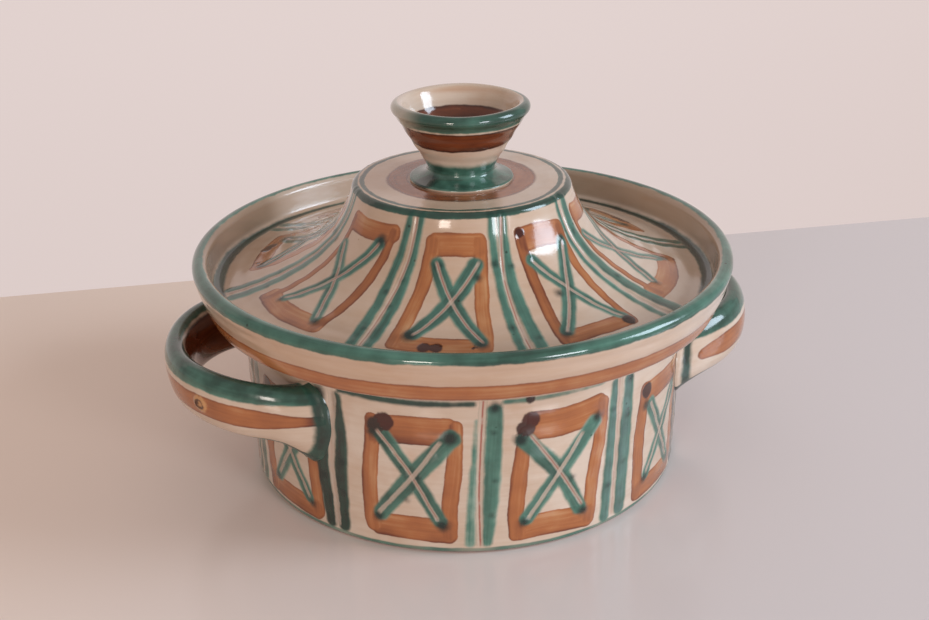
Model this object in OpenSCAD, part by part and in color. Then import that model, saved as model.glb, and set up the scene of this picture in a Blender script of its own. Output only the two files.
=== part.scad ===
// Lidded casserole tagine in glazed earthenware: a low round pot with two loop handles,
// and a flared lid with an upturned rim, a flat top and a hollow cup-shaped knob.
// Millimetres, +Z up, +X through the handles, origin on the table under the middle of the pot.

/* [Pot] */
// Outside radius of the pot's wall at its mouth
mouth_r = 108; // [105:0.5:111]
// Outside radius of the wall just above the foot
foot_r = 106.3; // [103:0.1:107]
// Height of the pot's rim above the table
pot_h = 87.7; // [80:0.1:100]
// Thickness of the thrown wall
wall = 6.5; // [5:0.5:8]
// Thickness of the pot's floor
floor_t = 8; // [6:0.5:10]
// Height of the hollow under the foot
foot_hollow = 1.5; // [0.5:0.5:3]

/* [Handles] */
// Distance from the pot's axis to the outer edge of a handle, half way up
handle_reach = 147; // [142:1:152]
// Thickness of a handle, seen from above
handle_t = 13.5; // [10:0.5:15]
// Height of a handle's strap
handle_h = 29; // [22:1:32]
// Drop from the pot's rim to the top of a handle
handle_drop = 9.7; // [8:0.1:14]
// How far a handle's loop is pulled towards the front
handle_pull = 5; // [0:0.5:8]
// How far the top of the strap leans out past its middle
strap_lean = 1.7; // [0:0.1:3]
// How far the strap droops on its way to the wall
strap_droop = 3.3; // [0:0.1:5]
// How far the clay sweeps down where a handle joins the wall
root_sweep = 10; // [6:1:16]

/* [Lid] */
// Outside radius of the lid at its upturned rim
lid_r = 130; // [127:1:134]
// Outside radius of the lid's lower edge
skirt_r = 123.8; // [122:0.1:125]
// How far the lower edge hangs below the seat
drip = 2; // [1:0.5:3]
// Height of the rim's crest above the seat
rim_h = 21.8; // [18:0.1:26]
// Height of the gutter's floor above the seat
gutter_h = 6.8; // [6:0.1:9]
// Height of the flat top above the seat
top_h = 53.5; // [45:0.5:65]
// Radius of the flat top with its rounded edge
top_r = 52.6; // [48:0.1:58]
// Depth of the ring that holds the lid in the mouth
ring_depth = 10; // [6:1:16]
// Thickness of that ring
ring_t = 6; // [4:0.5:8]
// Gap between that ring and the pot's mouth
ring_play = 2.5; // [1:0.5:4]
// Gap between the pot's rim and the lid's seat
seat_gap = 0.3; // [0.2:0.1:0.5]

/* [Knob] */
// Outside radius of the knob at its lip
knob_r = 32.7; // [28:0.1:36]
// Height of the knob above the lid's flat top
knob_h = 38.1; // [34:0.1:44]
// Radius of the knob's foot
knob_foot_r = 24.8; // [22:0.1:28]
// Radius of the knob's waist
waist_r = 16; // [14:0.5:18]
// Thickness of the knob's wall
knob_wall = 5; // [4:0.5:6]

/* [Hidden] */
$fn = 96;

cream = "#EBDDCB";
rust = "#B4673A";
green = "#4E9480";

// Pot: the foot ring, the round corner above it and the inside corner
foot_ring_w = 15;
foot_corner_r = 2.5;
inside_corner_r = 12;
belly_z = 0.43 * pot_h;
belly_r = foot_r + 0.8 * (mouth_r - foot_r);
mouth_in_r = mouth_r - wall;
floor_z = foot_hollow + floor_t;

// Handles: a loop struck from one centre, its ends buried in the wall
handle_top_z = pot_h - handle_drop;
handle_low_z = handle_top_z - handle_h;
loop_outer_r = 61;
loop_r = loop_outer_r - handle_t / 2;
loop_x = handle_reach - loop_outer_r;
loop_widening = 1.06;
loop_half_angle = 100;
root_from = 60;
root_to = 90;
root_swell = 0.28;
strap_power = 2.2;
loop_steps = 36;
strap_sides = 20;

// Lid: heights above the table
seat_z = pot_h + seat_gap;
skirt_z = seat_z - drip;
gutter_z = seat_z + gutter_h;
crest_z = seat_z + rim_h;
top_z = seat_z + top_h;
lip_r = 3.7;
lip_centre = [lid_r - lip_r, crest_z - lip_r];
shoulder_r = 3.5;
shoulder_angle = 17;
shoulder_centre = [top_r - shoulder_r, top_z - shoulder_r];
gutter_corner_r = 3.5;
gutter_r = lid_r - 8 - gutter_corner_r;
skirt_edge_r = 1.2;
ring_out_r = mouth_in_r - ring_play;
ring_in_r = ring_out_r - ring_t;
ring_edge_r = 1.5;

// Knob: heights above the table
knob_lip_r = 3;
knob_lip = [knob_r - knob_lip_r, top_z + knob_h - knob_lip_r];
waist_z = top_z + 6;
cup_z = top_z + 14.5;
cup_r = 12.5;
knob_edge = 0.8;

// Points of an arc about a centre, from one angle to another
function arc(centre, r, from, to, steps) =
    [for (i = [0:steps]) let (a = from + (to - from) * i / steps) centre + r * [cos(a), sin(a)]];

// Points of a cubic curve through its two ends, pulled towards two handles
function curve(p0, p1, p2, p3, steps) =
    [for (i = [0:steps]) let (t = i / steps, s = 1 - t)
        s*s*s * p0 + 3*s*s*t * p1 + 3*s*t*t * p2 + t*t*t * p3];

// 0 before one value, 1 after another, and a smooth step between them
function ease(x, from, to) =
    let (t = max(0, min(1, (x - from) / (to - from)))) t * t * (3 - 2 * t);

// Outside of the pot from the foot ring up to the rim
pot_side = concat(
    arc([foot_r - foot_corner_r, foot_corner_r], foot_corner_r, -90, 0, 5),
    [[belly_r, belly_z]],
    arc([mouth_r - wall / 2, pot_h - wall / 2], wall / 2, 0, 90, 5));

module pot_body() {
    foot_in_r = foot_r - foot_ring_w;
    rim_inside = arc([mouth_r - wall / 2, pot_h - wall / 2], wall / 2, 90, 180, 5);
    corner_inside = arc([mouth_in_r - 2 - inside_corner_r, floor_z + inside_corner_r],
                        inside_corner_r, 0, -90, 6);
    color(cream) rotate_extrude()
        polygon(concat([[0, foot_hollow], [foot_in_r, foot_hollow], [foot_in_r + foot_hollow, 0]],
                       pot_side, rim_inside, corner_inside, [[0, floor_z]]));
}

// The whole space inside the pot's outer surface, which trims the handles' ends
module pot_space() {
    rotate_extrude() polygon(concat([[0, 0]], pot_side, [[0, pot_h]]));
}

// One ring of points round the strap, at an angle along the loop
function strap_ring(angle) =
    let (root = ease(abs(angle), root_from, root_to),
         droop = strap_droop * pow(sin(angle), 4),
         low_z = handle_low_z - droop - root_sweep * root,
         half_h = (handle_top_z - droop - low_z) / 2,
         half_t = handle_t / 2 * (1 + root_swell * root))
    [for (i = [0:strap_sides - 1])
        let (a = 360 * i / strap_sides,
             up = sign(sin(a)) * pow(abs(sin(a)), 2 / strap_power),
             out = half_t * sign(cos(a)) * pow(abs(cos(a)), 2 / strap_power) + strap_lean * up,
             y = loop_widening * (loop_r + out) * sin(angle) - handle_pull * cos(angle))
        [loop_x + (loop_r + out) * cos(angle), y, low_z + half_h * (1 + up)]];

// A loop handle on the +X side, cut to the curve of the wall
module loop_handle() {
    rings = [for (k = [0:loop_steps]) strap_ring(loop_half_angle * (2 * k / loop_steps - 1))];
    points = [for (ring = rings) each ring];
    sides = [for (k = [0:loop_steps - 1], i = [0:strap_sides - 1])
        let (j = (i + 1) % strap_sides, a = k * strap_sides, b = a + strap_sides)
        each [[a + i, b + i, b + j], [a + i, b + j, a + j]]];
    first_end = [for (i = [0:strap_sides - 1]) i];
    last_end = [for (i = [strap_sides - 1:-1:0]) loop_steps * strap_sides + i];
    difference() {
        polyhedron(points, concat(sides, [first_end, last_end]));
        pot_space();
    }
}

module handle_right() {
    color(rust) loop_handle();
}

module handle_left() {
    color(rust) mirror([1, 0, 0]) loop_handle();
}

module lid_shell() {
    dome_start = shoulder_centre + shoulder_r * [cos(shoulder_angle), sin(shoulder_angle)];
    dome_end = [gutter_r - 0.5, gutter_z];
    dome_run = dome_end - dome_start;
    outer_dome = curve(dome_start, dome_start + [0.085 * dome_run.x, 0.43 * dome_run.y],
                       dome_start + [0.29 * dome_run.x, 0.82 * dome_run.y], dome_end, 14);
    gutter_corner = arc([gutter_r, gutter_z + gutter_corner_r], gutter_corner_r, -80, 0, 4);
    lip = arc(lip_centre, lip_r, 165, -20, 9);
    skirt_edge = arc([skirt_r - skirt_edge_r, skirt_z + skirt_edge_r], skirt_edge_r, -20, -90, 3);
    under_start = [top_r - wall, top_z - wall - 2];
    under_run = [ring_in_r, seat_z] - under_start;
    under_dome = curve([ring_in_r, seat_z], under_start + [0.43 * under_run.x, 0.74 * under_run.y],
                       under_start + [0.14 * under_run.x, 0.34 * under_run.y], under_start, 12);
    color(cream) rotate_extrude()
        polygon(concat([[0, top_z]], arc(shoulder_centre, shoulder_r, 90, shoulder_angle, 4),
                       outer_dome, gutter_corner, lip, skirt_edge,
                       [[mouth_r + 1, seat_z]], under_dome,
                       [[top_r - wall - 3, top_z - wall], [0, top_z - wall]]));
}

module lid_locating_ring() {
    low_z = seat_z - ring_depth;
    edge_z = low_z + ring_edge_r;
    color(cream) rotate_extrude()
        polygon(concat([[ring_in_r, seat_z]],
                       arc([ring_in_r + ring_edge_r, edge_z], ring_edge_r, 180, 270, 4),
                       arc([ring_out_r - ring_edge_r, edge_z], ring_edge_r, -90, 0, 4),
                       [[ring_out_r, seat_z]]));
}

module lid_knob() {
    foot_edge = arc([knob_foot_r - knob_edge, top_z + knob_edge], knob_edge, -90, 60, 4);
    waist = [waist_r, waist_z];
    foot_sweep = curve([knob_foot_r - 1.2, top_z + 1.7], [waist_r + 2.5, top_z + 2.2],
                       [waist_r - 0.4, waist_z - 2], waist, 6);
    flare_end = knob_lip + knob_lip_r * [cos(-30), sin(-30)];
    flare = curve(waist, waist + [0.3, 2.2], waist + [2.6, 5], flare_end, 6);
    lip = arc(knob_lip, knob_lip_r, -20, 145, 8);
    bowl = curve(knob_lip - [knob_wall - 2, 0.3], [cup_r + 6, cup_z + 5], [cup_r, cup_z + 0.5],
                 [cup_r - 6, cup_z], 8);
    color(green) rotate_extrude()
        polygon(concat([[0, top_z]], foot_edge, foot_sweep, flare, lip, bowl, [[0, cup_z]]));
}

pot_body();
handle_left();
handle_right();
lid_shell();
lid_locating_ring();
lid_knob();
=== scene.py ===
import math

import bpy
import numpy as np
from mathutils import Matrix, Vector


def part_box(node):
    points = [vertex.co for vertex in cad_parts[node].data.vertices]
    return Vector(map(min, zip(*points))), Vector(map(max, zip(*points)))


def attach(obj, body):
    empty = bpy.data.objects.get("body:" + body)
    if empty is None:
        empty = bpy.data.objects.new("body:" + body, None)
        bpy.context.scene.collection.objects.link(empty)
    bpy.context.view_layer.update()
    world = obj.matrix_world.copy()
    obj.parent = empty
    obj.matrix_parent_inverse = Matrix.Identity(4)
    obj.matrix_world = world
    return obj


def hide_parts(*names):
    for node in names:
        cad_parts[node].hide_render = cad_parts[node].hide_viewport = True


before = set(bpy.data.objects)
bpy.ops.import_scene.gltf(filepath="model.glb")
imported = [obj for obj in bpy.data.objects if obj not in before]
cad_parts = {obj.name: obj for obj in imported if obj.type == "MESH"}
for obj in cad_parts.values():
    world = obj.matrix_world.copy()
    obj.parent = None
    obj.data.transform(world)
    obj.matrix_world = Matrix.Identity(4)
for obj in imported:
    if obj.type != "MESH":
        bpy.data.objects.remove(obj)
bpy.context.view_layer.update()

# A lidded tagine casserole in thrown and glazed earthenware, painted by hand.
# Shapes are worked out in millimetres in the frame's own axes, and put into meshes in metres.
# The painting is laid out in degrees round the pot from its show side, positive to the right
# as it is faced, and in millimetres up the wall or down the lid's dome.

MM = 0.001
SHOW_SIDE = -107.0


def box_mm(node):
    """Lowest and highest corner of a part of the frame, in millimetres."""
    low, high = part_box(node)
    return np.array(low) / MM, np.array(high) / MM


# ---------------------------------------------------------------- sizes, from the frame

_, pot_high = box_mm("pot_body")
lid_low, lid_high = box_mm("lid_shell")
ring_low, ring_high = box_mm("lid_locating_ring")
_, knob_high = box_mm("lid_knob")
_, strap_high = box_mm("handle_right")

# The tiny shrink keeps the true circles inside the frame's faceted ones
KEEP_IN = 0.9996
mouth_r = pot_high[1] * KEEP_IN
pot_h = pot_high[2]
wall = 6.5
foot_r = mouth_r - 1.7
foot_corner_r = 2.5
foot_ring_w = 15.0
foot_hollow = 1.5
floor_z = foot_hollow + 8.0
inside_corner_r = 12.0

lid_r = lid_high[1] * KEEP_IN
skirt_z = lid_low[2]
seat_z = ring_high[2]
top_z = lid_high[2]
crest_z = seat_z + 21.8
gutter_z = seat_z + 6.8
top_r = lid_r - 77.4
skirt_r = lid_r - 6.2
lip_r = 3.7
shoulder_r = 3.5
gutter_corner_r = 3.5
gutter_r = lid_r - 8 - gutter_corner_r
ring_out_r = ring_high[1] * KEEP_IN
ring_in_r = ring_out_r - 6.0

knob_r = knob_high[1] * KEEP_IN
knob_top = knob_high[2]
knob_foot_r = knob_r - 7.9
waist_r = 16.0
knob_lip_r = 3.0
cup_h = 14.5

strap_top = strap_high[2]
strap_t = 13.5
strap_h = 29.0
loop_outer_r = 61.0
loop_x = strap_high[0] * KEEP_IN - loop_outer_r
strap_lean = 1.7
strap_droop = 3.3
root_sweep = 10.0
root_swell = 0.28
loop_widening = 1.06
handle_pull = 5.0


# ---------------------------------------------------------------- curves


def ease(x, low, high):
    """0 up to low, 1 from high on, and 3t^2 - 2t^3 between them."""
    t = np.clip((x - low) / (high - low), 0, 1)
    return t * t * (3 - 2 * t)


def arc(centre, radius, start, end, steps=16):
    """Points of a round arc: centre + radius (cos a, sin a), for a from start to end degrees."""
    a = np.radians(np.linspace(start, end, steps + 1))
    return np.array(centre) + radius * np.stack([np.cos(a), np.sin(a)], 1)


def cubic(p0, p1, p2, p3):
    """Points of a Bezier curve: s^3 p0 + 3 s^2 t p1 + 3 s t^2 p2 + t^3 p3, with s = 1 - t."""
    steps = 48
    t = np.linspace(0, 1, steps + 1)[:, None]
    s = 1 - t
    p0, p1, p2, p3 = (np.array(p, float) for p in (p0, p1, p2, p3))
    return s**3 * p0 + 3 * s * s * t * p1 + 3 * s * t * t * p2 + t**3 * p3


def line(*points):
    """The corners of a straight or bent line."""
    return np.array(points, float)


def lengths(points):
    """Distance along a row of points, from the first one."""
    steps = np.linalg.norm(np.diff(points, axis=0), axis=1)
    return np.concatenate([[0], np.cumsum(steps)])


def walk(*parts):
    """One row of (r, z) points along (points, gap) parts laid end to end.
    Each part is cut into even steps no longer than its gap."""
    rows = []
    for points, gap in parts:
        far = lengths(points)
        at = np.linspace(0, far[-1], max(1, math.ceil(far[-1] / gap)) + 1)
        rows.append(np.stack([np.interp(at, far, points[:, k]) for k in (0, 1)], 1)[:-1])
    rows.append(parts[-1][0][-1:])
    return np.vstack(rows)


def brush_path(points):
    """A smooth curve through given points: the Catmull-Rom cubic between each pair."""
    steps = 10
    p = np.asarray(points, float)
    p = np.vstack([2 * p[0] - p[1], p, 2 * p[-1] - p[-2]])
    t = np.linspace(0, 1, steps, endpoint=False)[:, None]
    a, b, c, d = p[:-3, None], p[1:-2, None], p[2:-1, None], p[3:, None]
    curve = 0.5 * (2 * b + (c - a) * t + (2 * a - 5 * b + 4 * c - d) * t**2
                   + (3 * b - a - 3 * c + d) * t**3)
    return np.vstack([curve.reshape(-1, 2), p[-2]])


# ---------------------------------------------------------------- meshes


def make_piece(name, points, quads, fans, body, slot, node):
    """Puts points (mm), four-sided faces and three-sided pole faces into a named piece.
    The faces are turned over together where the volume they enclose comes out negative."""
    flat = np.vstack([quads[:, [0, 1, 2]], quads[:, [0, 2, 3]], fans])
    a, b, c = (points[flat[:, k]] for k in range(3))
    if np.einsum("ij,ij->", a, np.cross(b, c)) < 0:
        quads, fans = quads[:, ::-1], fans[:, ::-1]
    corners = np.concatenate([quads.ravel(), fans.ravel()]).astype(np.int32)
    sizes = np.concatenate([np.full(len(quads), 4), np.full(len(fans), 3)])
    starts = np.concatenate([[0], np.cumsum(sizes)[:-1]]).astype(np.int32)
    mesh = bpy.data.meshes.new(name)
    mesh.vertices.add(len(points))
    mesh.loops.add(len(corners))
    mesh.polygons.add(len(sizes))
    mesh.vertices.foreach_set("co", (points * MM).astype(np.float32).ravel())
    mesh.loops.foreach_set("vertex_index", corners)
    mesh.polygons.foreach_set("loop_start", starts)
    mesh.polygons.foreach_set("use_smooth", np.ones(len(sizes), bool))
    mesh.update(calc_edges=True)
    piece = bpy.data.objects.new(name, mesh)
    bpy.context.scene.collection.objects.link(piece)
    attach(piece, body)
    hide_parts(node)
    return piece


def grid_faces(rows, columns, poles):
    """Quads between neighbouring rows and columns of a grid that is closed round its columns. With
    poles, the first and last rows are closed by fans of triangles about the two points that follow
    the grid; without, the last row joins the first."""
    j = np.arange(columns)
    next_j = (j + 1) % columns
    here = np.arange(rows - 1 if poles else rows)[:, None] * columns
    there = (here + columns) % (rows * columns)
    quads = np.stack([here + j, here + next_j, there + next_j, there + j], -1).reshape(-1, 4)
    if not poles:
        return quads, np.zeros((0, 3), int)
    first = rows * columns
    end = first - columns
    return quads, np.vstack([np.stack([np.full(columns, first), next_j, j], 1),
                             np.stack([np.full(columns, first + 1), end + j, end + next_j], 1)])


def write_field(piece, name, *columns):
    """Stores up to three numbers for each vertex, which the glaze reads by name."""
    values = np.zeros((len(piece.data.vertices), 3), np.float32)
    for k, column in enumerate(columns):
        values[:, k] = column
    field = piece.data.attributes.new(name, "FLOAT_VECTOR", "POINT")
    field.data.foreach_set("vector", values.ravel())


class Thrown:
    """A shape thrown on the wheel: the profile (r, z) turned about Z on a grid of rows and columns,
    point = (r cos a, r sin a, z). A profile that starts and ends on the axis has a pole at each
    end, and one that doesn't is closed into a ring. lift(rows) moves points along the normal."""

    def __init__(self, profile, columns):
        self.poles = abs(profile[0, 0]) < 1e-6
        self.profile = profile
        rim = profile[1:-1] if self.poles else profile
        a = np.radians(np.arange(columns) * 360 / columns)
        self.shape = (len(rim), columns)
        self.r = np.repeat(rim[:, 0], columns)
        self.z = np.repeat(rim[:, 1], columns)
        self.angle = np.tile(a, len(rim))
        self.turn = (np.degrees(self.angle) - SHOW_SIDE + 180) % 360 - 180
        before = profile[:-2] if self.poles else np.roll(profile, 1, 0)
        after = profile[2:] if self.poles else np.roll(profile, -1, 0)
        run = after - before
        run /= np.linalg.norm(run, axis=1)[:, None]
        self.out_r = np.repeat(run[:, 1], columns)
        self.out_z = np.repeat(-run[:, 0], columns)

    def points(self):
        """Every point of the grid, (r cos a, r sin a, z)."""
        return np.stack([self.r * np.cos(self.angle), self.r * np.sin(self.angle), self.z], 1)

    def normals(self):
        """The way out of the surface at every point, square to the profile."""
        return np.stack([self.out_r * np.cos(self.angle), self.out_r * np.sin(self.angle),
                         self.out_z], 1)

    def lift(self, height):
        """Moves every point out along the surface's normal by a height in millimetres."""
        self.r = self.r + height * self.out_r
        self.z = self.z + height * self.out_z

    def make(self, name, body, slot, node):
        """Makes the piece, with a point on the axis at each pole."""
        points = self.points()
        if self.poles:
            ends = self.profile[[0, -1]]
            points = np.vstack([points, [[0, 0, ends[0, 1]], [0, 0, ends[1, 1]]]])
        return make_piece(name, points, *grid_faces(*self.shape, self.poles), body, slot, node)


# ---------------------------------------------------------------- painting

NO_PAINT = -20.0
REACH = 16.0


class Skin:
    """The painted side of a thrown piece. Brush marks are placed by (turn, v), where v runs along
    a guide curve of (v, r, z), and each mark's cover is the depth inside its edge in mm."""

    def __init__(self, thrown, rows, guide):
        self.size = len(thrown.r)
        self.rows = np.flatnonzero(rows)
        self.points = thrown.points()[self.rows]
        self.normals = thrown.normals()[self.rows]
        self.guide = guide
        blank = lambda value: np.full(self.size, value)
        self.rust, self.green = blank(NO_PAINT), blank(NO_PAINT)
        self.rust_load, self.green_load = blank(0.0), blank(0.0)
        self.rust_brush, self.green_brush = np.zeros((self.size, 3)), np.zeros((self.size, 3))
        self.drops, self.drop_red = blank(NO_PAINT), blank(0.0)
        self.scratches = [{"side": blank(REACH), "near": blank(REACH), "half": blank(1.0),
                           "red": blank(0.0), "past": blank(0.0)} for _ in range(2)]
        self.marks = 0

    def place(self, path):
        """3-D points of a (turn, v) path on the surface."""
        v, r, z = self.guide
        angle = np.radians(path[:, 0] + SHOW_SIDE)
        radius = np.interp(path[:, 1], v, r)
        return np.stack([radius * np.cos(angle), radius * np.sin(angle),
                         np.interp(path[:, 1], v, z)], 1)

    def measure(self, path):
        """For the vertices near a path: which they are, the distance along it, going past its
        ends, the signed distance across it, and its whole length."""
        line_points = self.place(path)
        low, high = line_points.min(0) - REACH, line_points.max(0) + REACH
        close = np.flatnonzero(((self.points > low) & (self.points < high)).all(1))
        start, run = line_points[:-1], np.diff(line_points, axis=0)
        size = np.linalg.norm(run, axis=1)
        unit = run / size[:, None]
        offset = self.points[close][:, None] - start
        least, most = np.zeros(len(size)), size.copy()
        least[0], most[-1] = -np.inf, np.inf
        t = np.clip(np.einsum("mnk,nk->mn", offset, unit), least, most)
        gap = offset - t[..., None] * unit
        far = np.linalg.norm(gap, axis=2)
        best = far.argmin(1)
        row = np.arange(len(close))
        along = np.concatenate([[0], np.cumsum(size)[:-1]])[best] + t[row, best]
        side = np.einsum("mk,mk->m", np.cross(unit[best], self.normals[close]), gap[row, best])
        across = np.where(side < 0, -far[row, best], far[row, best])
        return self.rows[close], along, across, size.sum()

    def brush(self, pigment, points, halves, load, corner):
        """One brush stroke: a band with rounded corners whose half width runs through halves.
        Its cover is the rounded box distance corner - |max(q, 0)| - min(max(q), 0), where
        q = (|across| - half + corner, overshoot + corner)."""
        at, along, across, total = self.measure(brush_path(points))
        self.marks += 1
        half = np.interp(along / total, np.linspace(0, 1, len(halves)), halves)
        corner = np.minimum(corner, half * 0.98)
        q1 = np.abs(across) - half + corner
        q2 = np.maximum(-along, along - total) + corner
        cover = corner - np.hypot(np.maximum(q1, 0), np.maximum(q2, 0))
        cover = cover - np.minimum(np.maximum(q1, q2), 0)
        held, loads = getattr(self, pigment), getattr(self, pigment + "_load")
        brushed = getattr(self, pigment + "_brush")
        overlap = 0.1 * ease(np.minimum(held[at], cover), -0.2, 1.6)
        wins = (cover > held[at]) | (cover > 0.4)
        loads[at] = np.where(wins, np.where(held[at] > 0.4, np.maximum(loads[at], load), load),
                             loads[at]) + overlap
        stroke = np.stack([along, across, np.full(len(at), self.marks)], 1)
        brushed[at] = np.where(wins[:, None], stroke, brushed[at])
        held[at] = np.maximum(held[at], cover)

    def scratch(self, which, points, half, red):
        """A line drawn through the wet glaze with a point; which is 0 or 1, so that the two
        lines of a cross are kept apart."""
        at, along, across, total = self.measure(brush_path(points))
        past = np.maximum(np.maximum(-along, along - total), 0)
        lines = self.scratches[which]
        near = np.hypot(across, past)
        wins = near < lines["near"][at]
        at, across, near = at[wins], across[wins], near[wins]
        lines["near"][at] = near
        lines["side"][at] = across
        lines["past"][at] = past[wins]
        lines["half"][at] = half
        lines["red"][at] = red

    def drop(self, turn, v, radius, red):
        """A pool of thick glaze, a rounded spot; red 0 is black-green and 1 is dark red."""
        centre = self.place(np.array([[turn, v]]))[0]
        cover = radius - np.linalg.norm(self.points - centre, axis=1)
        wins = cover > self.drops[self.rows]
        self.drops[self.rows[wins]] = cover[wins]
        self.drop_red[self.rows[wins & (cover > -3)]] = red

    def relief(self):
        """Height in mm that the painting adds: thick pools and strokes stand up, scratches cut in."""
        cut = sum(np.exp(-(lines["near"] / (0.75 * lines["half"])) ** 2) for lines in self.scratches)
        return (0.08 * ease(self.rust, -0.5, 1) + 0.12 * ease(self.green, -0.6, 1.2)
                + 0.22 * ease(self.drops, -0.8, 1.2) - 0.32 * np.minimum(cut, 1))

    def write(self, piece):
        """Stores the painting on the piece, with nothing painted at its poles."""
        spare = len(piece.data.vertices) - self.size
        pad = lambda values, fill: np.concatenate([values, np.full(spare, fill)])
        write_field(piece, "rust", pad(self.rust, NO_PAINT), pad(self.rust_load, 0))
        write_field(piece, "green", pad(self.green, NO_PAINT), pad(self.green_load, 0))
        write_field(piece, "drops", pad(self.drops, NO_PAINT), pad(self.drop_red, 0))
        for name, brushed in (("rust_brush", self.rust_brush), ("green_brush", self.green_brush)):
            write_field(piece, name, *(pad(brushed[:, k], 0) for k in range(3)))
        for k, lines in enumerate(self.scratches):
            write_field(piece, f"scratch_{k}", pad(lines["side"], REACH), pad(lines["near"], REACH),
                        pad(lines["half"], 1))
            write_field(piece, f"scratch_{k}_end", pad(lines["red"], 0), pad(lines["past"], 0))


# ---------------------------------------------------------------- the painting on the pot's wall

# A panel is a rust frame of four strokes round a green cross with a line scratched down each arm.
# Each stroke is (points, half widths, load), each scratch (points, half width, redness),
# and each drop (turn, height, radius, redness).
WALL_PANELS = [
    {"rust": [([(-23.5, 12.6), (-13, 12.4), (-2.2, 11.6)], (6.2, 6.4), 0.42),
              ([(-23.6, 60.5), (-15, 62.6), (-2, 62.6)], (7.2, 7.0), 0.5),
              ([(-21.7, 69), (-22.5, 50), (-23.3, 35), (-23.3, 18), (-22.6, 7.6)], (3.5, 3.9, 3.8), 0.4),
              ([(-2.2, 68.5), (-2.4, 50), (-3, 38), (-3.8, 24), (-4, 6)], (3.3, 3.8, 3.7), 0.4)],
     "green": [([(-20.6, 62), (-12.5, 39), (-5.4, 14.6)], (4.0, 3.9, 3.4), 0.5),
               ([(-1.8, 62.4), (-12.5, 39), (-21.8, 15.6)], (4.4, 4.8, 3.7), 0.46)],
     "scratch": [([(-20.4, 60), (-16.2, 49.5), (-12.6, 39.4), (-7, 18.5)], 1.0, 0.55),
                 ([(-6, 57), (-12.2, 40), (-21, 19)], 1.15, 0.12)],
     "drop": [(-18.9, 65.6, 4.7, 0.9), (-21.2, 63.0, 4.3, 0.35), (-21.8, 60.0, 2.6, 0),
              (-21.4, 16.2, 2.6, 0), (-5.6, 14.8, 3.0, 0), (-3.4, 59.6, 3.2, 0.1),
              (-11.2, 39.4, 1.3, 0), (-14, 27, 1.0, 0)]},
    {"rust": [([(11.4, 10.8), (20, 11.8), (33, 9.4)], (6.2, 6.0), 0.4),
              ([(14.2, 63.4), (24, 62.8), (35.4, 65)], (7.2, 6.8), 0.44),
              ([(14.4, 64), (13.2, 48), (12.4, 33), (11.9, 18), (12.4, 5)], (3.3, 3.9, 3.8), 0.42),
              ([(34.4, 70), (33.8, 50), (32.8, 38), (32, 25), (31.4, 4.5)], (3.4, 3.8, 3.5), 0.38)],
     "green": [([(12.4, 60), (22.5, 37.7), (29.4, 12.8)], (4.1, 4.2, 3.6), 0.44),
               ([(33, 61), (23, 37.5), (13.6, 13.6)], (4.2, 4.3, 3.6), 0.4)],
     "scratch": [([(15.6, 58), (22.6, 38.4), (29, 18)], 1.1, 0.7),
                 ([(28.5, 54), (22.4, 36.6), (15.3, 17)], 1.1, 0.1)],
     "drop": [(15.3, 66.6, 4.2, 1.0), (14.1, 62.4, 4.3, 0.7), (12.8, 57.6, 3.0, 0),
              (15.1, 76.8, 2.3, 0.5),
              (13.9, 14.6, 2.2, 0), (29.6, 13.6, 2.4, 0), (32.9, 60.6, 2.4, 0.1),
              (26.3, 33, 1.1, 0)]},
    {"rust": [([(47.4, 8.9), (58, 9.4), (69.8, 8.6)], (5.3, 5.4), 0.44),
              ([(49.4, 59.6), (58, 60), (70.4, 59.6)], (5.8, 5.6), 0.46),
              ([(50.2, 66), (49, 50), (48.4, 38), (48.5, 20), (49, 4)], (4.0, 4.4, 4.2), 0.46),
              ([(69, 64.6), (68.6, 40), (68.6, 5)], (3.6, 3.9, 3.7), 0.4)],
     "green": [([(51.6, 56), (59, 33), (66.2, 10.6)], (3.8, 4.0, 3.4), 0.42),
               ([(67.4, 54), (59.4, 34), (51.6, 13)], (3.9, 4.2, 3.4), 0.4)],
     "scratch": [([(53, 53), (59.2, 33), (65, 15)], 1.1, 0.35),
                 ([(65.6, 50), (59.4, 34), (53, 17)], 1.1, 0.15)],
     "drop": [(50.4, 61.4, 4.0, 0.7), (50.2, 54, 2.4, 0), (66.4, 11.4, 2.2, 0),
              (51.8, 13.6, 2.2, 0), (67.2, 54.6, 2.0, 0.1)]},
]

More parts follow.
